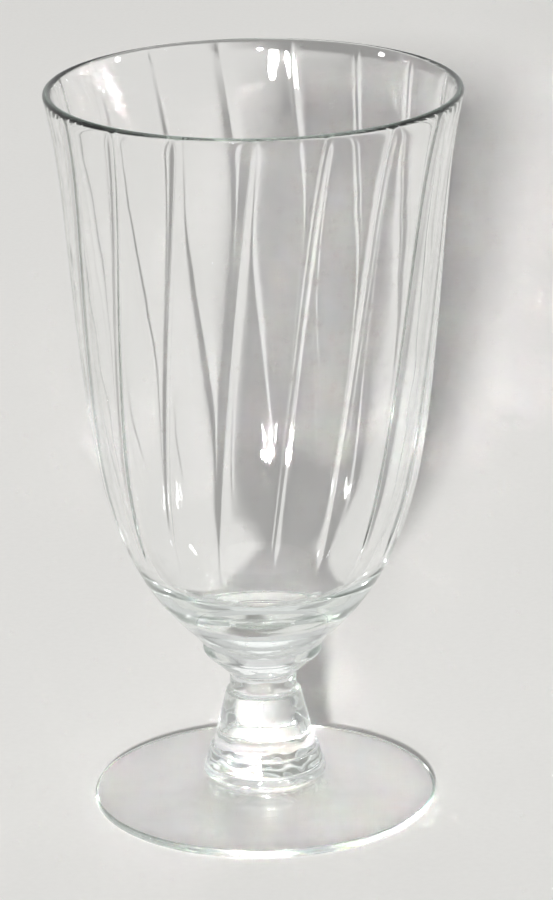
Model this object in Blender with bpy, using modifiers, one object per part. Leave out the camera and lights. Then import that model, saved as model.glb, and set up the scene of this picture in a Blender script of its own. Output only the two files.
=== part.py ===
"""A footed iced tea glass, built up from separate gathers of clear glass.

Sizes are in metres and +Z is up. The origin is the middle of the ring that the foot rests on.
The pieces stand on one another, from the foot up to the bowl, with a hairline joint between them.
The bowl is turned, and its inside wall then gets swirled optic panels with a fine ridge between each two.
"""

import math

import bmesh
import bpy
import numpy as np
from mathutils import Vector

# Hairline joint between one gather of glass and the next
JOINT_GAP = 0.0003

# Foot: a flattened disc, thin at its edge, hollow underneath, that rests on a flat ring
FOOT_RADIUS = 0.0355
FOOT_EDGE_THICKNESS = 0.0017
FOOT_CENTRE_THICKNESS = 0.0048
FOOT_EDGE_ROUNDING = 0.0007
FOOT_REST_WIDTH = 0.0030
FOOT_HOLLOW_DEPTH = 0.0024

# Foot wafer: the rounded disc that joins the stem to the foot
FOOT_WAFER_HEIGHT = 0.0026
FOOT_WAFER_SEAT_RADIUS = 0.0118
FOOT_WAFER_GIRTH_RADIUS = 0.0129
FOOT_WAFER_GIRTH_HEIGHT = 0.0009
FOOT_WAFER_TOP_RADIUS = 0.0124
FOOT_WAFER_ROUNDING = 0.0008

# Stem collar: the tier above the wafer
COLLAR_HEIGHT = 0.0030
COLLAR_FOOT_RADIUS = 0.0122
COLLAR_TOP_RADIUS = 0.0114
COLLAR_ROUNDING = 0.0005

# Stem cone: the solid stem, widening downwards
CONE_HEIGHT = 0.0123
CONE_FOOT_RADIUS = 0.0109
CONE_TOP_RADIUS = 0.0077
CONE_ROUNDING = 0.0006

# Stem neck: a short ring whose lower edge is drawn in
NECK_HEIGHT = 0.0035
NECK_RADIUS = 0.0070
NECK_SEAT_RADIUS = 0.0062
NECK_SEAT_HEIGHT = 0.0007
NECK_ROUNDING = 0.0006

# Bowl button: it rounds in under the bowl from a narrow upright edge
BUTTON_NECK_RADIUS = 0.0069
BUTTON_UNDERSIDE_HEIGHT = 0.0048
BUTTON_EDGE_RADIUS = 0.0124
BUTTON_EDGE_HEIGHT = 0.0020
BUTTON_EDGE_ROUNDING = 0.0018
BUTTON_CUP_HEIGHT = 0.0024
BUTTON_CUP_RADIUS = 0.0146

# Bowl: radius of the outside at five heights above the bowl's base, and the lean at both ends
BOWL_BASE_RADIUS = 0.0148
BOWL_HEEL_RADIUS = 0.0267
BOWL_HEEL_HEIGHT = 0.0161
BOWL_BELLY_RADIUS = 0.0347
BOWL_BELLY_HEIGHT = 0.0471
BOWL_WAIST_RADIUS = 0.0383
BOWL_WAIST_HEIGHT = 0.0851
BOWL_RIM_RADIUS = 0.0424
BOWL_HEIGHT = 0.1148
BOWL_BASE_LEAN = 1.10
BOWL_RIM_LEAN = 0.25

# Bowl wall: thin at the lip, thicker at the heel, with a heavy floor
LIP_WALL = 0.0017
HEEL_WALL = 0.0030
FLOOR_THICKNESS = 0.0058
FLOOR_WALL_HANDLE = 0.0090
FLOOR_FLAT_HANDLE = 0.0130

# Optic panels on the inside wall: a ridge stands between each two and swirls about the axis.
# The ridges start just under the lip and die away where the wall rounds into the floor.
PANEL_COUNT = 17
RIDGE_HEIGHT = 0.0005
RIDGE_WIDTH = 0.0032
RIDGE_FADE_BELOW_LIP = 0.0015
RIDGE_FULL_RADIUS = 0.0310
RIDGE_END_RADIUS = 0.0240
RIDGE_SWIRL_PER_METRE = math.radians(180)
FIRST_RIDGE_ANGLE = math.radians(-90)

# Fineness of the meshes
COLUMNS_PER_PANEL = 4
FOOT_COLUMNS = 72
STEM_COLUMNS = 48
ARC_STEPS = 4
FOOT_TOP_STEPS = 7
FOOT_HOLLOW_STEPS = 7
BOWL_WALL_STEPS = 16
BOWL_FLOOR_STEPS = 7
LIP_STEPS = 5
MERGE_DISTANCE = 0.00001

# Finish of clear glass: faintly green and fire-polished
GLASS_COLOUR = (0.93, 0.97, 0.95, 1.0)
GLASS_ROUGHNESS = 0.02
GLASS_METALLIC = 0.0
GLASS_IOR = 1.52

# Heights at which the pieces stand
FOOT_WAFER_BASE = FOOT_CENTRE_THICKNESS + JOINT_GAP
COLLAR_BASE = FOOT_WAFER_BASE + FOOT_WAFER_HEIGHT + JOINT_GAP
CONE_BASE = COLLAR_BASE + COLLAR_HEIGHT + JOINT_GAP
NECK_BASE = CONE_BASE + CONE_HEIGHT + JOINT_GAP
BUTTON_BASE = NECK_BASE + NECK_HEIGHT + JOINT_GAP
BUTTON_HEIGHT = BUTTON_UNDERSIDE_HEIGHT + BUTTON_EDGE_HEIGHT + BUTTON_CUP_HEIGHT
BOWL_BASE = BUTTON_BASE + BUTTON_HEIGHT + JOINT_GAP


def clear_scene():
    for old in list(bpy.data.objects):
        bpy.data.objects.remove(old, do_unlink=True)


def glass(name):
    """A clear glass material for one piece."""
    material = bpy.data.materials.new(name + "_glass")
    material.use_nodes = True
    shader = material.node_tree.nodes["Principled BSDF"]
    shader.inputs["Base Color"].default_value = GLASS_COLOUR
    shader.inputs["Roughness"].default_value = GLASS_ROUGHNESS
    shader.inputs["Metallic"].default_value = GLASS_METALLIC
    shader.inputs["IOR"].default_value = GLASS_IOR
    shader.inputs["Transmission Weight"].default_value = 1.0
    return material


def rounded(corners):
    """Profile points of (radius, height, rounding) corners, each rounding drawn as an arc.

    An arc takes at most half of the shorter side beside it.
    """
    points = []
    for index, (radius, height, rounding) in enumerate(corners):
        corner = Vector((radius, height))
        if rounding == 0:
            points.append(corner)
            continue
        back = Vector(corners[index - 1][:2]) - corner
        ahead = Vector(corners[index + 1][:2]) - corner
        half_angle = back.angle(ahead) / 2
        reach = min(rounding / math.tan(half_angle), back.length / 2, ahead.length / 2)
        start = corner + back.normalized() * reach
        end = corner + ahead.normalized() * reach
        bisector = (back.normalized() + ahead.normalized()).normalized()
        centre = corner + bisector * reach / math.cos(half_angle)
        size = (start - centre).length
        from_start, to_end = (start - centre).normalized(), (end - centre).normalized()
        for step in range(ARC_STEPS + 1):
            points.append(centre + from_start.slerp(to_end, step / ARC_STEPS) * size)
    return points


def smooth_step(value):
    """Rises from 0 to 1 with level ends."""
    value = min(max(value, 0.0), 1.0)
    return value * value * (3 - 2 * value)


def turned(name, points, columns, base, collection, weights=None):
    """An object of a profile turned about +Z. The profile runs down its outer side.

    Weights, one for each of the profile's first points, become the vertex group "inside".
    """
    mesh = bpy.data.meshes.new(name)
    ends = zip(range(len(points) - 1), range(1, len(points)))
    mesh.from_pydata([(x, 0, z) for x, z in points], list(ends), [])
    piece = bpy.data.objects.new(name, mesh)
    collection.objects.link(piece)
    piece.location.z = base
    if weights:
        group = piece.vertex_groups.new(name="inside")
        for index, weight in enumerate(weights):
            group.add([index], weight, "REPLACE")
    screw = piece.modifiers.new("turn", "SCREW")
    screw.axis = "Z"
    screw.angle = math.tau
    screw.steps = columns
    screw.render_steps = columns
    screw.use_smooth_shade = True
    screw.use_merge_vertices = True
    screw.merge_threshold = MERGE_DISTANCE
    mesh.materials.append(glass(name))
    return piece


def foot(collection):
    top = []
    for step in range(FOOT_TOP_STEPS):
        along = step / FOOT_TOP_STEPS
        radius = FOOT_WAFER_SEAT_RADIUS + (FOOT_RADIUS - FOOT_WAFER_SEAT_RADIUS) * along
        rise = (FOOT_CENTRE_THICKNESS - FOOT_EDGE_THICKNESS) * (1 - along) ** 2
        top.append((radius, FOOT_EDGE_THICKNESS + rise, 0))
    hollow_radius = FOOT_RADIUS - FOOT_EDGE_ROUNDING - FOOT_REST_WIDTH
    hollow = []
    for step in range(FOOT_HOLLOW_STEPS + 1):
        along = step / FOOT_HOLLOW_STEPS
        hollow.append((hollow_radius * (1 - along), FOOT_HOLLOW_DEPTH * smooth_step(along), 0))
    edge = [
        (FOOT_RADIUS, FOOT_EDGE_THICKNESS, FOOT_EDGE_ROUNDING),
        (FOOT_RADIUS, 0, FOOT_EDGE_ROUNDING),
    ]
    corners = [(0, FOOT_CENTRE_THICKNESS, 0)] + top + edge + hollow
    return turned("foot", rounded(corners), FOOT_COLUMNS, 0, collection)


def foot_wafer(collection):
    corners = [
        (0, FOOT_WAFER_HEIGHT, 0),
        (FOOT_WAFER_TOP_RADIUS, FOOT_WAFER_HEIGHT, FOOT_WAFER_ROUNDING),
        (FOOT_WAFER_GIRTH_RADIUS, FOOT_WAFER_GIRTH_HEIGHT, FOOT_WAFER_ROUNDING),
        (FOOT_WAFER_SEAT_RADIUS, 0, 0),
        (0, 0, 0),
    ]
    return turned("foot_wafer", rounded(corners), STEM_COLUMNS, FOOT_WAFER_BASE, collection)


def stem_collar(collection):
    corners = [
        (0, COLLAR_HEIGHT, 0),
        (COLLAR_TOP_RADIUS, COLLAR_HEIGHT, COLLAR_ROUNDING),
        (COLLAR_FOOT_RADIUS, 0, COLLAR_ROUNDING),
        (0, 0, 0),
    ]
    return turned("stem_collar", rounded(corners), STEM_COLUMNS, COLLAR_BASE, collection)


def stem_cone(collection):
    corners = [
        (0, CONE_HEIGHT, 0),
        (CONE_TOP_RADIUS, CONE_HEIGHT, CONE_ROUNDING),
        (CONE_FOOT_RADIUS, 0, 0),
        (0, 0, 0),
    ]
    return turned("stem_cone", rounded(corners), STEM_COLUMNS, CONE_BASE, collection)


def stem_neck(collection):
    corners = [
        (0, NECK_HEIGHT, 0),
        (BUTTON_NECK_RADIUS, NECK_HEIGHT, 0),
        (NECK_RADIUS, NECK_SEAT_HEIGHT, NECK_ROUNDING),
        (NECK_SEAT_RADIUS, 0, 0),
        (0, 0, 0),
    ]
    return turned("stem_neck", rounded(corners), STEM_COLUMNS, NECK_BASE, collection)


def bowl_button(collection):
    edge_foot = BUTTON_UNDERSIDE_HEIGHT
    edge_top = edge_foot + BUTTON_EDGE_HEIGHT
    corners = [
        (0, BUTTON_HEIGHT, 0),
        (BUTTON_CUP_RADIUS, BUTTON_HEIGHT, 0),
        (BUTTON_EDGE_RADIUS, edge_top, 0),
        (BUTTON_EDGE_RADIUS, edge_foot, BUTTON_EDGE_ROUNDING),
        (BUTTON_NECK_RADIUS, 0, 0),
        (0, 0, 0),
    ]
    return turned("bowl_button", rounded(corners), STEM_COLUMNS, BUTTON_BASE, collection)


def outside_curve():
    """A function of height that gives the bowl's outer radius and lean: a spline through its stations."""
    stations = [
        (0, BOWL_BASE_RADIUS),
        (BOWL_HEEL_HEIGHT, BOWL_HEEL_RADIUS),
        (BOWL_BELLY_HEIGHT, BOWL_BELLY_RADIUS),
        (BOWL_WAIST_HEIGHT, BOWL_WAIST_RADIUS),
        (BOWL_HEIGHT, BOWL_RIM_RADIUS),
    ]
    heights, radii = np.array(stations).T
    spans = np.diff(heights)
    chords = np.diff(radii) / spans
    # The leans at the inner stations keep the bend unbroken from span to span.
    last = len(stations) - 1
    system = np.zeros((last + 1, last + 1))
    known = np.zeros(last + 1)
    system[0, 0] = system[last, last] = 1
    known[0], known[last] = BOWL_BASE_LEAN, BOWL_RIM_LEAN
    for row in range(1, last):
        before, after = spans[row - 1], spans[row]
        system[row, row - 1 : row + 2] = after, 2 * (before + after), before
        known[row] = 3 * (after * chords[row - 1] + before * chords[row])
    leans = np.linalg.solve(system, known)

    def radius_and_lean(height):
        span = int(np.clip(np.searchsorted(heights, height) - 1, 0, last - 1))
        along = (height - heights[span]) / spans[span]
        low, high = leans[span : span + 2] - chords[span]
        bend = (1 - along) ** 2 * along * low - (1 - along) * along**2 * high
        radius = radii[span] + spans[span] * (chords[span] * along + bend)
        lean = chords[span] + (1 - 4 * along + 3 * along**2) * low
        lean += (3 * along**2 - 2 * along) * high
        return radius, lean

    return radius_and_lean


def bowl_profile():
    """Points of the bowl's section, from the floor's middle to the base's, and the inside's weights.

    A weight is the share of the ridges' height at that point of the inside.
    """
    outside = outside_curve()
    # The wall ends where the round of the lip, which stands square to it, reaches the bowl's height.
    wall_top = BOWL_HEIGHT - LIP_WALL / 2 * (1 + math.sin(math.atan(BOWL_RIM_LEAN)))
    heights = [wall_top * step / BOWL_WALL_STEPS for step in range(BOWL_WALL_STEPS + 1)]
    outer = [Vector((outside(height)[0], height)) for height in heights]

    # The inside wall lies at the wall's thickness from the outside, measured square to it.
    inner = []
    rise = (wall_top - RIDGE_FADE_BELOW_LIP - BOWL_HEEL_HEIGHT) / BOWL_WALL_STEPS
    heights = [BOWL_HEEL_HEIGHT + rise * step for step in range(BOWL_WALL_STEPS + 1)]
    for height in heights + [wall_top]:
        radius, lean = outside(height)
        inward = Vector((-1, lean)).normalized()
        share = (height - BOWL_HEEL_HEIGHT) / (wall_top - BOWL_HEEL_HEIGHT)
        wall = HEEL_WALL + (LIP_WALL - HEEL_WALL) * share
        inner.append(Vector((radius, height)) + inward * wall)

    # The floor is one curve from its level middle up to the wall at the heel.
    heel_way = (inner[0] - inner[1]).normalized()
    floor_ends = (
        Vector((0, FLOOR_THICKNESS)),
        Vector((FLOOR_FLAT_HANDLE, FLOOR_THICKNESS)),
        inner[0] + heel_way * FLOOR_WALL_HANDLE,
        inner[0],
    )
    floor = []
    for step in range(BOWL_FLOOR_STEPS):
        along = step / BOWL_FLOOR_STEPS
        shares = [math.comb(3, k) * along**k * (1 - along) ** (3 - k) for k in range(4)]
        floor.append(sum((end * share for end, share in zip(floor_ends, shares)), Vector((0, 0))))

    # The lip is a half round from the inside wall over to the outside one.
    middle = (inner[-1] + outer[-1]) / 2
    half_wall = (inner[-1] - outer[-1]) / 2
    up = Vector((-half_wall.y, half_wall.x))
    if up.y < 0:
        up = -up
    lip = []
    for step in range(1, LIP_STEPS):
        turn = math.pi * step / LIP_STEPS
        lip.append(middle + half_wall * math.cos(turn) + up * math.sin(turn))

    inside = floor + inner
    points = inside + lip + outer[::-1] + [Vector((0, 0))]
    weights = []
    for point in inside:
        below_lip = (inner[-1].y - point.y) / RIDGE_FADE_BELOW_LIP
        above_floor = (point.x - RIDGE_END_RADIUS) / (RIDGE_FULL_RADIUS - RIDGE_END_RADIUS)
        weights.append(smooth_step(below_lip) * smooth_step(above_floor))
    return points, weights


def swirl_panels(bowl):
    """Turns the bowl's inside wall about the axis with depth and raises the ridges on it."""
    graph = bpy.context.evaluated_depsgraph_get()
    mesh = bpy.data.meshes.new_from_object(
        bowl.evaluated_get(graph), preserve_all_data_layers=True, depsgraph=graph
    )
    shape = bmesh.new()
    shape.from_mesh(mesh)
    layer = shape.verts.layers.deform.active
    group = bowl.vertex_groups["inside"].index
    column_angle = math.tau / (PANEL_COUNT * COLUMNS_PER_PANEL)
    for vertex in shape.verts:
        radius = math.hypot(vertex.co.x, vertex.co.y)
        angle = math.atan2(vertex.co.y, vertex.co.x)
        weight = vertex[layer].get(group)
        if weight is not None and radius > MERGE_DISTANCE:
            # A ridge's crest is a panel's first column, and the columns on both sides close in on it.
            closing = weight * (column_angle - RIDGE_WIDTH / 2 / radius)
            column = round(angle / column_angle) % COLUMNS_PER_PANEL
            if column == 0:
                radius -= RIDGE_HEIGHT * weight
            elif column == 1:
                angle -= closing
            elif column == COLUMNS_PER_PANEL - 1:
                angle += closing
            angle -= RIDGE_SWIRL_PER_METRE * (BOWL_HEIGHT - vertex.co.z)
        angle += FIRST_RIDGE_ANGLE
        vertex.co.x = radius * math.cos(angle)
        vertex.co.y = radius * math.sin(angle)
    shape.to_mesh(mesh)
    shape.free()
    bowl.modifiers.clear()
    bowl.vertex_groups.clear()
    bowl.data = mesh


def main():
    clear_scene()
    collection = bpy.data.collections.new("iced_tea_glass")
    bpy.context.scene.collection.children.link(collection)
    for make in (foot, foot_wafer, stem_collar, stem_cone, stem_neck, bowl_button):
        make(collection)
    points, weights = bowl_profile()
    columns = PANEL_COUNT * COLUMNS_PER_PANEL
    bowl = turned("bowl", points, columns, BOWL_BASE, collection, weights)
    bpy.context.view_layer.update()
    swirl_panels(bowl)


main()
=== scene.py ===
# %% [markdown]
# # A footed iced tea glass
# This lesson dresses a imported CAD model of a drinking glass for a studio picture.
# The real glass is built up hot from gathers of clear glass: a flattened foot, a short stem of five
# turned pieces, and a tall bowl whose inside was blown into a ribbed optic mould and given a twist.
# The CAD gives each piece its place and size. Here each piece is turned again, finely enough for light to
# bend through it without showing facets.

# %% Load the frame
import math

import bpy
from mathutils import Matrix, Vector


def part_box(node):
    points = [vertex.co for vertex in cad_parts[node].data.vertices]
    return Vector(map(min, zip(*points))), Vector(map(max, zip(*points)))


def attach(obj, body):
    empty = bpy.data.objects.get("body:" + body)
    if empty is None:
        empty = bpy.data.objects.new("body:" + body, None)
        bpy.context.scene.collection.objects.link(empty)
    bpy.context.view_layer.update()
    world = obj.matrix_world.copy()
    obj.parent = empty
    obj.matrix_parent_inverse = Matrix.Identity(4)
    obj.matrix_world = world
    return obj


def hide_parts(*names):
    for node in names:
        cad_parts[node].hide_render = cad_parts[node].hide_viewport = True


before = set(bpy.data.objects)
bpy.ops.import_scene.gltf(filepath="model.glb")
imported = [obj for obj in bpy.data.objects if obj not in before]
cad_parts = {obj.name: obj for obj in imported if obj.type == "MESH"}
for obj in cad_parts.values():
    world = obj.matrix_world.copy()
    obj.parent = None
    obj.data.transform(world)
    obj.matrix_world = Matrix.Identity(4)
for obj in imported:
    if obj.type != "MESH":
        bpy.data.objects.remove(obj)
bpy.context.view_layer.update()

print("CAD nodes:", ", ".join(sorted(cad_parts)))

# %% [markdown]
# ## Where the gathers meet
# Each gather is pressed on to the last while both are soft, so on the real glass no crack is left between
# them. The CAD keeps a 0.3 mm gap there, because its solids may not touch. For the picture each piece is
# grown to the middle of that gap. Only a slit of a fiftieth of a millimetre stays, so that every piece is
# a closed mesh of its own and no two faces lie in the same place. The radius of each weld is listed under
# the name of the piece below it.

# %% Joint planes
STACK = ("foot", "foot_wafer", "stem_collar", "stem_cone", "stem_neck", "bowl_button", "bowl")
SLIT = 0.00002
FUSED_RADIUS = {
    "foot": 0.0118,
    "foot_wafer": 0.0115,
    "stem_collar": 0.0108,
    "stem_cone": 0.0062,
    "stem_neck": 0.0069,
    "bowl_button": 0.0146,
}

bottoms = {STACK[0]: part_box(STACK[0])[0].z}
tops = {STACK[-1]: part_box(STACK[-1])[1].z}
for lower, upper in zip(STACK, STACK[1:]):
    plane = (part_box(lower)[1].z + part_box(upper)[0].z) / 2
    tops[lower] = plane - SLIT / 2
    bottoms[upper] = plane + SLIT / 2
for name in STACK:
    print(f"{name}: from {1000 * bottoms[name]:.2f} to {1000 * tops[name]:.2f} mm")

# %% [markdown]
# ## Drawing a section
# Every piece is round, so each is drawn as half of its section and then spun about the upright axis, as a
# potter or a lathe would shape it. A primitive is merged to a single point, and the point is extruded
# along the section. Corners that the flame has softened are drawn as arcs. Long straight runs are cut
# short, because smooth shading bends the light on a long face beside an arc.

# %% Section outline
ARC_STEPS = 8
LONGEST_RUN = 0.0012
LEVEL_WITHIN = 0.000002
SEED_SIZE = 0.01


def rounded(corners):
    """Points of an outline of (radius, height, rounding) corners, with each rounding drawn as an arc."""
    points = []
    for index, (radius, height, rounding) in enumerate(corners):
        corner = Vector((radius, height))
        if rounding == 0:
            points.append(corner)
            continue
        back = Vector(corners[index - 1][:2]) - corner
        ahead = Vector(corners[index + 1][:2]) - corner
        half_angle = back.angle(ahead) / 2
        reach = min(rounding / math.tan(half_angle), back.length / 2, ahead.length / 2)
        start = corner + back.normalized() * reach
        end = corner + ahead.normalized() * reach
        bisector = (back.normalized() + ahead.normalized()).normalized()
        centre = corner + bisector * reach / math.cos(half_angle)
        size = (start - centre).length
        from_start = (start - centre).normalized()
        to_end = (end - centre).normalized()
        for step in range(ARC_STEPS + 1):
            points.append(centre + from_start.slerp(to_end, step / ARC_STEPS) * size)
    return points


def short_runs(points):
    """The same outline with its long sloping or upright runs cut into short ones."""
    cut = [points[0]]
    for start, end in zip(points, points[1:]):
        level = abs(end.y - start.y) < LEVEL_WITHIN
        pieces = 1 if level else math.ceil((end - start).length / LONGEST_RUN)
        for step in range(1, pieces + 1):
            cut.append(start.lerp(end, step / pieces))
    return cut


def draw_outline(name, points):
    """A new object that holds one open line: a single point extruded along the outline."""
    bpy.ops.object.select_all(action="DESELECT")
    bpy.ops.mesh.primitive_plane_add(size=SEED_SIZE)
    piece = bpy.context.object
    piece.name = name
    bpy.ops.object.mode_set(mode="EDIT")
    bpy.ops.mesh.merge(type="CENTER")
    bpy.ops.transform.translate(value=(points[0].x, 0, points[0].y))
    for start, end in zip(points, points[1:]):
        step = (end.x - start.x, 0, end.y - start.y)
        bpy.ops.mesh.extrude_vertices_move(TRANSFORM_OT_translate={"value": step})
    bpy.ops.object.mode_set(mode="OBJECT")
    return piece


print(f"outlines: arcs of {ARC_STEPS} steps, runs of up to {1000 * LONGEST_RUN:.1f} mm")

# %% [markdown]
# ## Spinning a section
# The Spin operator sweeps the line once round the axis. Its first and last columns then lie on each other
# and are merged, and so are the points on the axis. Smoothing by angle keeps the few real creases sharp.

# %% Spin
MERGE_DISTANCE = 0.000002
CREASE_ANGLE = math.radians(28)


def spin_outline(piece, columns):
    """Spins the drawn line once round the axis, closes the seam and shades the skin smooth."""
    bpy.ops.object.mode_set(mode="EDIT")
    bpy.ops.mesh.select_all(action="SELECT")
    bpy.ops.mesh.spin(steps=columns, angle=math.tau, center=(0, 0, 0), axis=(0, 0, 1))
    bpy.ops.mesh.select_all(action="SELECT")
    bpy.ops.mesh.remove_doubles(threshold=MERGE_DISTANCE)
    bpy.ops.mesh.normals_make_consistent(inside=False)
    bpy.ops.object.mode_set(mode="OBJECT")
    bpy.ops.object.shade_smooth_by_angle(angle=CREASE_ANGLE)
    print(f"{piece.name}: {len(piece.data.vertices)} vertices, {len(piece.data.polygons)} faces")


def turn(node, corners, columns):
    """A turned piece that stands for a CAD node. Corner heights are measured from its foot."""
    lifted = [(radius, bottoms[node] + height, rounding) for radius, height, rounding in corners]
    piece = draw_outline("turned_" + node, short_runs(rounded(lifted)))
    spin_outline(piece, columns)
    return piece


print(f"creases over {math.degrees(CREASE_ANGLE):.0f} degrees stay sharp")

# %% [markdown]
# ## Foot
# The foot is a disc that was flattened while hot: thick where the stem stands on it, thin at its edge, and
# hollow underneath, so that it rests on a ring. Its top falls away along a parabola. Proportional editing
# could pull it to shape, but a short loop gives the curve an exact size.

# %% Foot
FOOT_RADIUS = 0.0355
FOOT_EDGE_THICKNESS = 0.0017
FOOT_EDGE_ROUNDING = 0.0007
FOOT_REST_WIDTH = 0.0030
FOOT_HOLLOW_DEPTH = 0.0024
FOOT_TOP_STEPS = 32
FOOT_HOLLOW_STEPS = 32
FOOT_COLUMNS = 216


def smooth_step(value):
    """Rises from 0 to 1 with level ends."""
    value = min(max(value, 0.0), 1.0)
    return value * value * (3 - 2 * value)


foot_centre = tops["foot"] - bottoms["foot"]
foot_corners = [(0, foot_centre, 0)]
for step in range(FOOT_TOP_STEPS):
    along = step / FOOT_TOP_STEPS
    radius = FUSED_RADIUS["foot"] + (FOOT_RADIUS - FUSED_RADIUS["foot"]) * along
    rise = (foot_centre - FOOT_EDGE_THICKNESS) * (1 - along) ** 2
    foot_corners.append((radius, FOOT_EDGE_THICKNESS + rise, 0))
foot_corners.append((FOOT_RADIUS, FOOT_EDGE_THICKNESS, FOOT_EDGE_ROUNDING))
foot_corners.append((FOOT_RADIUS, 0, FOOT_EDGE_ROUNDING))
hollow_radius = FOOT_RADIUS - FOOT_EDGE_ROUNDING - FOOT_REST_WIDTH
for step in range(FOOT_HOLLOW_STEPS + 1):
    along = step / FOOT_HOLLOW_STEPS
    foot_corners.append((hollow_radius * (1 - along), FOOT_HOLLOW_DEPTH * smooth_step(along), 0))
foot = turn("foot", foot_corners, FOOT_COLUMNS)

# %% [markdown]
# ## Stem
# Five short pieces stand on one another: a rounded wafer on the foot, a collar, a cone, a neck that is
# drawn in at its lower edge, and the button that carries the bowl. Each needs only a handful of corners.
# A bevel after the spin would round them too, but arcs in the outline leave the mesh in plain rings.

# %% Stem pieces
STEM_COLUMNS = 144
WAFER_GIRTH_RADIUS = 0.0129
WAFER_GIRTH_HEIGHT = 0.0010
WAFER_TOP_RADIUS = 0.0124
WAFER_ROUNDING = 0.0008
COLLAR_FOOT_RADIUS = 0.0122
COLLAR_TOP_RADIUS = 0.0114
COLLAR_ROUNDING = 0.0005
CONE_TOP_RADIUS = 0.0077
CONE_ROUNDING = 0.0006
NECK_RADIUS = 0.0070
NECK_SEAT_HEIGHT = 0.0008
NECK_ROUNDING = 0.0006
BUTTON_UNDERSIDE_HEIGHT = 0.0049
BUTTON_EDGE_RADIUS = 0.0124
BUTTON_EDGE_HEIGHT = 0.0020
BUTTON_EDGE_ROUNDING = 0.0018

heights = {name: tops[name] - bottoms[name] for name in STACK}

foot_wafer = turn("foot_wafer", [
    (0, heights["foot_wafer"], 0),
    (FUSED_RADIUS["foot_wafer"], heights["foot_wafer"], 0),
    (WAFER_TOP_RADIUS, heights["foot_wafer"], WAFER_ROUNDING),
    (WAFER_GIRTH_RADIUS, WAFER_GIRTH_HEIGHT, WAFER_ROUNDING),
    (FUSED_RADIUS["foot"], 0, 0),
    (0, 0, 0),
], STEM_COLUMNS)

stem_collar = turn("stem_collar", [
    (0, heights["stem_collar"], 0),
    (FUSED_RADIUS["stem_collar"], heights["stem_collar"], 0),
    (COLLAR_TOP_RADIUS, heights["stem_collar"], COLLAR_ROUNDING),
    (COLLAR_FOOT_RADIUS, 0, COLLAR_ROUNDING),
    (FUSED_RADIUS["foot_wafer"], 0, 0),
    (0, 0, 0),
], STEM_COLUMNS)

stem_cone = turn("stem_cone", [
    (0, heights["stem_cone"], 0),
    (FUSED_RADIUS["stem_cone"], heights["stem_cone"], 0),
    (CONE_TOP_RADIUS, heights["stem_cone"], CONE_ROUNDING),
    (FUSED_RADIUS["stem_collar"], 0, 0),
    (0, 0, 0),
], STEM_COLUMNS)

stem_neck = turn("stem_neck", [
    (0, heights["stem_neck"], 0),
    (FUSED_RADIUS["stem_neck"], heights["stem_neck"], 0),
    (NECK_RADIUS, NECK_SEAT_HEIGHT, NECK_ROUNDING),
    (FUSED_RADIUS["stem_cone"], 0, 0),
    (0, 0, 0),
], STEM_COLUMNS)

bowl_button = turn("bowl_button", [
    (0, heights["bowl_button"], 0),
    (FUSED_RADIUS["bowl_button"], heights["bowl_button"], 0),
    (BUTTON_EDGE_RADIUS, BUTTON_UNDERSIDE_HEIGHT + BUTTON_EDGE_HEIGHT, 0),
    (BUTTON_EDGE_RADIUS, BUTTON_UNDERSIDE_HEIGHT, BUTTON_EDGE_ROUNDING),
    (FUSED_RADIUS["stem_neck"], 0, 0),
    (0, 0, 0),
], STEM_COLUMNS)

# %% [markdown]
# ## Bowl
# The bowl's outside is one smooth sweep from a wide lean at its base to a small flare at the lip. Five
# stations, each with a height, a radius and a lean, hold that sweep, and a cubic runs between each pair.
# The inside lies a wall's thickness away, thin at the lip and heavier at the heel.

# %% Bowl wall
BOWL_STATIONS = (
    (0.0, 0.0148, 1.10),
    (0.0161, 0.0267, 0.478),
    (0.0471, 0.0347, 0.127),
    (0.0851, 0.0383, 0.080),
    (0.1148, 0.0424, 0.250),
)
LIP_WALL = 0.0017
HEEL_WALL = 0.0030
WALL_STEPS = 56


def bowl_outside(height):
    """Radius and lean of the bowl's outside at a height above its base."""
    for low, high in zip(BOWL_STATIONS, BOWL_STATIONS[1:]):
        if height <= high[0] or high is BOWL_STATIONS[-1]:
            break
    low_height, low_radius, low_lean = low
    high_height, high_radius, high_lean = high
    span = high_height - low_height
    chord = (high_radius - low_radius) / span
    along = (height - low_height) / span
    low_bend = low_lean - chord
    high_bend = high_lean - chord
    bend = (1 - along) ** 2 * along * low_bend - (1 - along) * along ** 2 * high_bend
    radius = low_radius + span * (chord * along + bend)
    lean = chord + (1 - 4 * along + 3 * along ** 2) * low_bend
    lean += (3 * along ** 2 - 2 * along) * high_bend
    return radius, lean


lip_height, _, lip_lean = BOWL_STATIONS[-1]
wall_top = lip_height - LIP_WALL / 2 * (1 + math.sin(math.atan(lip_lean)))
heel = BOWL_STATIONS[1][0]
outer = []
inner = []
for step in range(WALL_STEPS + 1):
    share = step / WALL_STEPS
    height = wall_top * share
    outer.append(Vector((bowl_outside(height)[0], height)))
    height = heel + (wall_top - heel) * share
    radius, lean = bowl_outside(height)
    wall = HEEL_WALL + (LIP_WALL - HEEL_WALL) * share
    inner.append(Vector((radius, height)) + Vector((-1, lean)).normalized() * wall)
print(f"bowl wall: {1000 * HEEL_WALL:.1f} mm at the heel, {1000 * LIP_WALL:.1f} mm at the lip")
print(f"bowl outside: {2000 * outer[-1].x:.1f} mm across, just under the lip")

# %% [markdown]
# ## Floor and lip of the bowl
# The inside rounds into a thick floor along one Bezier curve with two handles, as Blender's curves have.
# The lip is a half round, as the flame leaves it. Inside, lip, outside and base make one outline.

# %% Bowl outline
FLOOR_THICKNESS = 0.0058
FLOOR_WALL_HANDLE = 0.0090
FLOOR_FLAT_HANDLE = 0.0130
FLOOR_STEPS = 26
LIP_STEPS = 10

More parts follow.
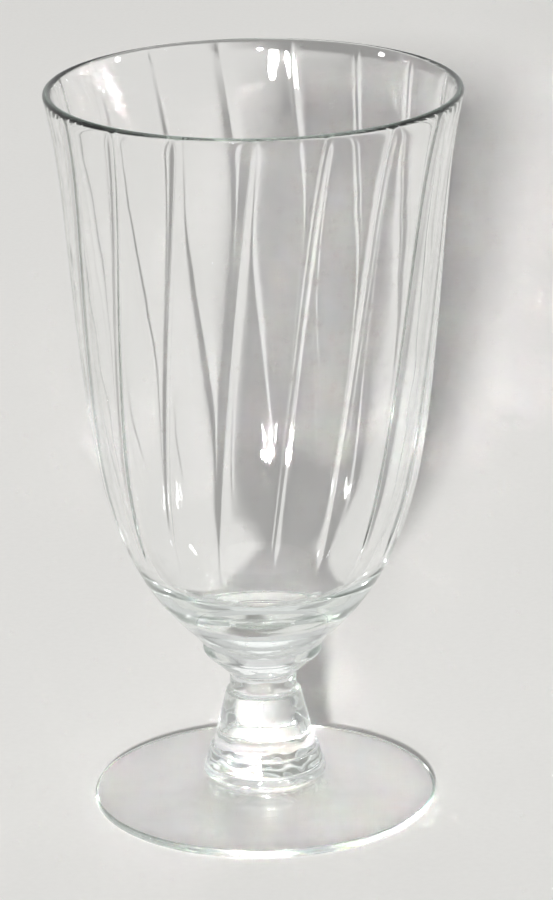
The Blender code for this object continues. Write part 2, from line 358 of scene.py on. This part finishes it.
floor_points = (
    Vector((0, FLOOR_THICKNESS)),
    Vector((FLOOR_FLAT_HANDLE, FLOOR_THICKNESS)),
    inner[0] + (inner[0] - inner[1]).normalized() * FLOOR_WALL_HANDLE,
    inner[0],
)
inside = []
for step in range(FLOOR_STEPS):
    along = step / FLOOR_STEPS
    shares = [math.comb(3, k) * along ** k * (1 - along) ** (3 - k) for k in range(4)]
    inside.append(sum((point * share for point, share in zip(floor_points, shares)), Vector((0, 0))))
inside += inner

half_wall = (inner[-1] - outer[-1]) / 2
lip_middle = (inner[-1] + outer[-1]) / 2
lip_up = Vector((half_wall.y, -half_wall.x))
lip = []
for step in range(1, LIP_STEPS):
    turned_by = math.pi * step / LIP_STEPS
    lip.append(lip_middle + half_wall * math.cos(turned_by) + lip_up * math.sin(turned_by))

lift = Vector((0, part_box("bowl")[0].z))
base = [Vector((FUSED_RADIUS["bowl_button"], bottoms["bowl"])), Vector((0, bottoms["bowl"]))]
bowl_outline = [point + lift for point in inside + lip + outer[::-1]] + base
bowl = draw_outline("turned_bowl", bowl_outline)
print(f"bowl outline: {len(bowl_outline)} points, lip at {1000 * max(p.y for p in bowl_outline):.2f} mm")

# %% [markdown]
# ## Swirled optic
# The bubble is blown into a fluted mould, drawn out and turned a little on the pipe. What stays inside the
# bowl is a ring of shallow panels with a fine ridge between each two, and the ridges lean as they go down.
# By hand one would paint the ridges as vertex weights, and a loop does the same here. The weights fade at
# the lip, which the flame has melted smooth, and towards the floor.

# %% Ridge weights
PANEL_COUNT = 17
COLUMNS_PER_PANEL = 24
RIDGE_SHARPNESS = 9
RIDGE_FADE_BELOW_LIP = 0.0015
RIDGE_END_RADIUS = 0.0240
RIDGE_FULL_RADIUS = 0.0310
WALL_WEIGHTS = "inside"
RIDGE_WEIGHTS = "ridges"

wall_group = bowl.vertex_groups.new(name=WALL_WEIGHTS)
for index, point in enumerate(inside):
    below_lip = (inner[-1].y - point.y) / RIDGE_FADE_BELOW_LIP
    above_floor = (point.x - RIDGE_END_RADIUS) / (RIDGE_FULL_RADIUS - RIDGE_END_RADIUS)
    wall_group.add([index], smooth_step(below_lip) * smooth_step(above_floor), "REPLACE")
spin_outline(bowl, PANEL_COUNT * COLUMNS_PER_PANEL)

wall_index = bowl.vertex_groups[WALL_WEIGHTS].index
ridge_group = bowl.vertex_groups.new(name=RIDGE_WEIGHTS)
for vertex in bowl.data.vertices:
    fade = next((g.weight for g in vertex.groups if g.group == wall_index), None)
    if fade is not None:
        panels = PANEL_COUNT * math.atan2(vertex.co.y, vertex.co.x) / math.tau
        from_line = 2 * abs(panels - round(panels))
        ridge = (1 - from_line) ** RIDGE_SHARPNESS
        ridge_group.add([vertex.index], fade * ridge, "REPLACE")
print(f"bowl: weights for {PANEL_COUNT} ridges, {COLUMNS_PER_PANEL} columns apart")

# %% [markdown]
# ## Ridges and twist
# A Displace modifier pushes the painted ridges into the bowl, and Simple Deform twists it. The round
# outside is the same after the twist. A last turn brings the first ridge to the front of the lip.

# %% Ridges and twist
RIDGE_HEIGHT = 0.0003
SWIRL_PER_METRE = math.radians(180)
FIRST_RIDGE_ANGLE = math.radians(-90)

ridges = bowl.modifiers.new("optic ridges", "DISPLACE")
ridges.direction = "NORMAL"
ridges.vertex_group = RIDGE_WEIGHTS
ridges.mid_level = 0.0
ridges.strength = RIDGE_HEIGHT
bpy.ops.object.modifier_apply(modifier=ridges.name)

twist = bowl.modifiers.new("swirl", "SIMPLE_DEFORM")
twist.deform_method = "TWIST"
twist.deform_axis = "Z"
levels = [vertex.co.z for vertex in bowl.data.vertices]
twist_angle = SWIRL_PER_METRE * (max(levels) - min(levels))
twist.angle = twist_angle
bpy.ops.object.modifier_apply(modifier=twist.name)
turned_at_lip = SWIRL_PER_METRE * max(levels)
bpy.ops.object.mode_set(mode="EDIT")
bpy.ops.mesh.select_all(action="SELECT")
bpy.ops.transform.rotate(
    value=turned_at_lip - FIRST_RIDGE_ANGLE, orient_axis="Z", center_override=(0, 0, 0),
)
bpy.ops.object.mode_set(mode="OBJECT")
print(f"bowl: ridges {1000 * RIDGE_HEIGHT:.2f} mm high, turned {math.degrees(twist_angle):.1f} degrees")

# %% [markdown]
# ## Fused joints
# Where two gathers are welded together light runs on as if there were one piece of glass. The flat ends
# of each mesh are therefore marked in a face attribute, and the glass reads the mark: on a marked face its
# index of refraction is that of its surroundings, so nothing bends and nothing is mirrored there.

# %% Mark the welds
TOUCH = 0.000005

pieces = dict(zip(STACK, (foot, foot_wafer, stem_collar, stem_cone, stem_neck, bowl_button, bowl)))


def mark_welds(node, piece):
    """Writes 1 in the face attribute "weld" on the flat ends where this piece joins its neighbours."""
    ends = []
    if node in FUSED_RADIUS:
        ends.append((tops[node], FUSED_RADIUS[node]))
    if node != STACK[0]:
        ends.append((bottoms[node], FUSED_RADIUS[STACK[STACK.index(node) - 1]]))
    mesh = piece.data
    marks = mesh.attributes.new("weld", "FLOAT", "FACE")
    count = 0
    for face in mesh.polygons:
        corners = [mesh.vertices[index].co for index in face.vertices]
        for height, radius in ends:
            if all(abs(c.z - height) < TOUCH and c.xy.length < radius + TOUCH for c in corners):
                marks.data[face.index].value = 1.0
                count += 1
    print(f"{node}: {count} welded faces")


for node, piece in pieces.items():
    mark_welds(node, piece)

# %% [markdown]
# ## Colours and nodes
# Two helpers serve every material. Colours are written as sRGB hex values, as a colour picker shows them,
# and Blender's sockets want them linear. Nodes are added one by one as in the shader editor, and each is
# given its values and its links in one call.

# %% Colours and nodes
def linear(hex_colour):
    """Linear colour and alpha of an sRGB hex value."""
    channels = []
    for start in (1, 3, 5):
        value = int(hex_colour[start:start + 2], 16) / 255
        channels.append(value / 12.92 if value <= 0.04045 else ((value + 0.055) / 1.055) ** 2.4)
    return (*channels, 1.0)


def add(tree, kind, inputs=None, **settings):
    """A new node with its settings. An input is given a value, or a socket to be linked to."""
    node = tree.nodes.new(kind)
    for name, value in settings.items():
        setattr(node, name, value)
    for name, value in (inputs or {}).items():
        if isinstance(value, bpy.types.NodeSocket):
            tree.links.new(value, node.inputs[name])
        else:
            node.inputs[name].default_value = value
    return node


print("linear value of a middle grey:", round(linear("#808080")[0], 3))

# %% [markdown]
# ## Clear glass
# Soda-lime tableware glass is colourless in a thin wall and faintly green where light runs a long way
# through it, so the tint is an absorption in the volume and not a colour on the skin. Its index is 1.52.
# Fire-polished skin is almost without roughness, but it is never flat: it has slow waves that make
# reflections swim, and a used glass has faint smears. Both are noise on Object coordinates.

# %% Glass materials
GLASS_IOR = 1.52
WELD_IOR = 1.0
GLASS_COLOUR = "#FFFFFF"
GLASS_TINT = "#CFE6D8"
GLASS_DENSITY = 5.0
WAVE_DETAIL = 1.0
SMEAR_SIZE = 0.016
SMEAR_DETAIL = 5.0
SMEAR_STARTS = 0.55
SMEAR_IS_FULL = 0.75


def clear_glass(name, wave_size, wave_height, smear):
    """Fire-polished soda-lime glass, with slow waves in its skin and faint smears on it."""
    material = bpy.data.materials.new(name)
    material.use_nodes = True
    tree = material.node_tree
    tree.nodes.clear()
    place = add(tree, "ShaderNodeTexCoord").outputs["Object"]
    waves = add(tree, "ShaderNodeTexNoise", {
        "Vector": place, "Scale": 1 / wave_size, "Detail": WAVE_DETAIL,
    })
    skin = add(tree, "ShaderNodeBump", {
        "Height": waves.outputs["Fac"], "Strength": 1.0, "Distance": wave_height,
    })
    smears = add(tree, "ShaderNodeTexNoise", {
        "Vector": place, "Scale": 1 / SMEAR_SIZE, "Detail": SMEAR_DETAIL,
    })
    roughness = add(tree, "ShaderNodeMapRange", {
        "Value": smears.outputs["Fac"], "From Min": SMEAR_STARTS, "From Max": SMEAR_IS_FULL,
        "To Min": 0.0, "To Max": smear,
    })
    weld = add(tree, "ShaderNodeAttribute", attribute_name="weld")
    index = add(tree, "ShaderNodeMapRange", {
        "Value": weld.outputs["Fac"], "To Min": GLASS_IOR, "To Max": WELD_IOR,
    })
    glass = add(tree, "ShaderNodeBsdfPrincipled", {
        "Base Color": linear(GLASS_COLOUR),
        "Transmission Weight": 1.0,
        "Roughness": roughness.outputs["Result"],
        "IOR": index.outputs["Result"],
        "Normal": skin.outputs["Normal"],
    })
    depth = add(tree, "ShaderNodeVolumeAbsorption", {
        "Color": linear(GLASS_TINT), "Density": GLASS_DENSITY,
    })
    add(tree, "ShaderNodeOutputMaterial", {
        "Surface": glass.outputs["BSDF"], "Volume": depth.outputs["Volume"],
    })
    return material


glasses = {
    "bowl_glass": clear_glass(
        "blown_soda_lime_glass", wave_size=0.014, wave_height=0.00012, smear=0.05,
    ),
    "stem_glass": clear_glass(
        "pressed_soda_lime_glass", wave_size=0.005, wave_height=0.00030, smear=0.03,
    ),
    "foot_glass": clear_glass(
        "flattened_soda_lime_glass", wave_size=0.010, wave_height=0.00005, smear=0.06,
    ),
}
print("glasses:", ", ".join(glass.name for glass in glasses.values()))

# %% [markdown]
# ## Glass on the pieces
# The blown bowl has the slowest waves and the pressed stem the quickest, so bowl, stem and foot each have
# a glass of their own. Each piece also says which CAD node it stands for and that it moves with the root.

# %% Glass on the pieces
OWN_SLOTS = {"bowl": "bowl_glass", "foot": "foot_glass"}

for node, piece in pieces.items():
    slot = OWN_SLOTS.get(node, "stem_glass")
    piece.data.materials.append(glasses[slot])
    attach(piece, "root")
    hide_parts(node)
    print(f"{node}: {slot}")

# %% [markdown]
# ## Paper floor
# The glass stands on a wide sheet of pale, matt paper that runs back out of the picture. A plane is enough
# for a sheet that lies flat. The fibres in the paper are a fine grain of two shades. The sheet lies a
# tenth of a millimetre under the foot, so that the two never share a plane. The Mix node has sockets for
# several kinds of data under the same names, so its sockets are picked by number.

# %% Paper floor
FLOOR_SIZE = 8.0
FLOOR_GAP = 0.0001
PAPER_COLOUR = "#E9E8E5"
PAPER_SHADE = "#E3E2DF"
PAPER_GRAIN = 0.0015
GRAIN_DETAIL = 3.0
PAPER_ROUGHNESS = 0.9
PAPER_SHEEN = 0.1
MIX_FACTOR = 0
MIX_COLOUR_A = 6
MIX_COLOUR_B = 7
MIX_COLOUR_RESULT = 2

bpy.ops.object.select_all(action="DESELECT")
bpy.ops.mesh.primitive_plane_add(size=FLOOR_SIZE, location=(0, 0, bottoms["foot"] - FLOOR_GAP))
paper_floor = bpy.context.object
paper_floor.name = "paper_floor"
bpy.ops.object.transform_apply(location=True)

paper = bpy.data.materials.new("matt_paper")
paper.use_nodes = True
tree = paper.node_tree
tree.nodes.clear()
place = add(tree, "ShaderNodeTexCoord").outputs["Object"]
grain = add(tree, "ShaderNodeTexNoise", {
    "Vector": place, "Scale": 1 / PAPER_GRAIN, "Detail": GRAIN_DETAIL,
})
colour = add(tree, "ShaderNodeMix", {
    MIX_FACTOR: grain.outputs["Fac"],
    MIX_COLOUR_A: linear(PAPER_SHADE),
    MIX_COLOUR_B: linear(PAPER_COLOUR),
}, data_type="RGBA")
matt_skin = add(tree, "ShaderNodeBsdfPrincipled", {
    "Base Color": colour.outputs[MIX_COLOUR_RESULT],
    "Roughness": PAPER_ROUGHNESS,
    "Specular IOR Level": PAPER_SHEEN,
})
add(tree, "ShaderNodeOutputMaterial", {"Surface": matt_skin.outputs["BSDF"]})
paper_floor.data.materials.append(paper)
print(f"paper: {FLOOR_SIZE:.0f} m square, {1000 * FLOOR_GAP:.1f} mm under the foot")

# %% [markdown]
# ## Lamps
# Clear glass is seen by what it bends and mirrors. The key lamp stands close to the camera's line and a
# little lower, so the bowl is seen against its own shadow, where the optic ridges draw dark and bright
# strokes. Three weaker lamps stand lower still: the front one is mirrored inside the rim, and the two at
# the sides give sparks. All four are sun lamps: like lamps far away, they light the paper evenly to its
# edge. A wide, dim one hangs overhead.

# %% Lamps
GLASS_MIDDLE = Vector((0, 0, 0.075))
LAMP_DISTANCE = 1.1
# Each far lamp has its azimuth, elevation and width in degrees, and then its strength.
FAR_LAMPS = (
    ("key_lamp", -4, 14.5, 3.0, 6.9),
    ("front_lamp", -11, 9, 5.0, 1.0),
    ("left_lamp", -80, 12, 4.2, 0.16),
    ("right_lamp", 85, 12, 4.2, 0.16),
)
TOP_LAMP_AZIMUTH = 180
TOP_LAMP_ELEVATION = 75
TOP_LAMP_SIZE = 1.2
TOP_LAMP_WATTS = 3.0


def add_lamp(kind, name, azimuth, elevation):
    """Settings of a new lamp that faces the glass. Azimuth 0 is the camera's side, and 90 the right."""
    around = math.radians(azimuth)
    up = math.radians(elevation)
    way = Vector((math.sin(around) * math.cos(up), -math.cos(around) * math.cos(up), math.sin(up)))
    bpy.ops.object.light_add(type=kind, location=GLASS_MIDDLE + way * LAMP_DISTANCE)
    lamp = bpy.context.object
    lamp.name = name
    lamp.rotation_euler = way.to_track_quat("Z", "Y").to_euler()
    return lamp.data


for name, azimuth, elevation, width, strength in FAR_LAMPS:
    far_lamp = add_lamp("SUN", name, azimuth, elevation)
    far_lamp.angle = math.radians(width)
    far_lamp.energy = strength
    print(f"{name}: {strength} W/m2, {width} degrees wide")

top_lamp = add_lamp("AREA", "top_lamp", TOP_LAMP_AZIMUTH, TOP_LAMP_ELEVATION)
top_lamp.shape = "DISK"
top_lamp.size = TOP_LAMP_SIZE
top_lamp.energy = TOP_LAMP_WATTS
print(f"top_lamp: {TOP_LAMP_WATTS} W, {TOP_LAMP_SIZE} m across")

# %% [markdown]
# ## Room
# The room fills the rest with little light, but it is seen as a paler backdrop, also in the glass. The
# Light Path node tells the two uses apart. Both are brightest at the horizon, as the walls of a studio
# would be.

# %% Room
HORIZON_STRENGTH = 0.18
ZENITH_STRENGTH = 0.11
BACKDROP_STRENGTH = 0.80
BACKDROP_ZENITH = 0.25
BACKDROP_SHOULDER = 0.4
MIX_NUMBER_A = 2
MIX_NUMBER_B = 3
MIX_NUMBER_RESULT = 0

room = bpy.data.worlds.new("studio_room")
room.use_nodes = True
bpy.context.scene.world = room
tree = room.node_tree
tree.nodes.clear()
direction = add(tree, "ShaderNodeTexCoord").outputs["Generated"]
height = add(tree, "ShaderNodeSeparateXYZ", {"Vector": direction}).outputs["Z"]
dim_room = add(tree, "ShaderNodeMapRange", {
    "Value": height, "To Min": HORIZON_STRENGTH, "To Max": ZENITH_STRENGTH,
})
pale_room = add(tree, "ShaderNodeMapRange", {
    "Value": height, "From Min": BACKDROP_SHOULDER,
    "To Min": BACKDROP_STRENGTH, "To Max": BACKDROP_ZENITH,
})
ray = add(tree, "ShaderNodeLightPath").outputs
seen = ray["Is Camera Ray"]
for kind in ("Is Glossy Ray", "Is Transmission Ray"):
    seen = add(tree, "ShaderNodeMath", {0: seen, 1: ray[kind]}, operation="MAXIMUM").outputs[0]
room_strength = add(tree, "ShaderNodeMix", {
    MIX_FACTOR: seen,
    MIX_NUMBER_A: dim_room.outputs["Result"],
    MIX_NUMBER_B: pale_room.outputs["Result"],
})
background = add(tree, "ShaderNodeBackground", {"Strength": room_strength.outputs[MIX_NUMBER_RESULT]})
add(tree, "ShaderNodeOutputWorld", {"Surface": background.outputs["Background"]})
print(f"room: {HORIZON_STRENGTH} at the horizon, seen as {BACKDROP_STRENGTH}")

# %% [markdown]
# ## Camera
# The picture looks down on the glass from a step away with a long lens, so its sides stay almost upright.
# Light crosses many skins of glass on its way through the stem, so it is given plenty of bounces, and
# nothing is blurred or clamped, which would dull the sparks.

# %% Camera and finish
CAMERA_PLACE = (0.0035, -0.9316, 0.3836)
CAMERA_PITCH = math.radians(71.70)
CAMERA_ROLL = -0.0161
CAMERA_LENS_MM = 191.9
SENSOR_HEIGHT_MM = 36.0
GLASS_BOUNCES = 48
MIRROR_BOUNCES = 32

bpy.ops.object.camera_add(location=CAMERA_PLACE)
camera = bpy.context.object
camera.rotation_mode = "ZYX"
camera.rotation_euler = (CAMERA_PITCH, 0, CAMERA_ROLL)
camera.data.sensor_fit = "VERTICAL"
camera.data.sensor_height = SENSOR_HEIGHT_MM
camera.data.lens = CAMERA_LENS_MM
scene = bpy.context.scene
scene.camera = camera
scene.view_settings.view_transform = "Standard"
scene.cycles.max_bounces = GLASS_BOUNCES
scene.cycles.transmission_bounces = GLASS_BOUNCES
scene.cycles.glossy_bounces = MIRROR_BOUNCES
scene.cycles.blur_glossy = 0.0
scene.cycles.sample_clamp_indirect = 0.0
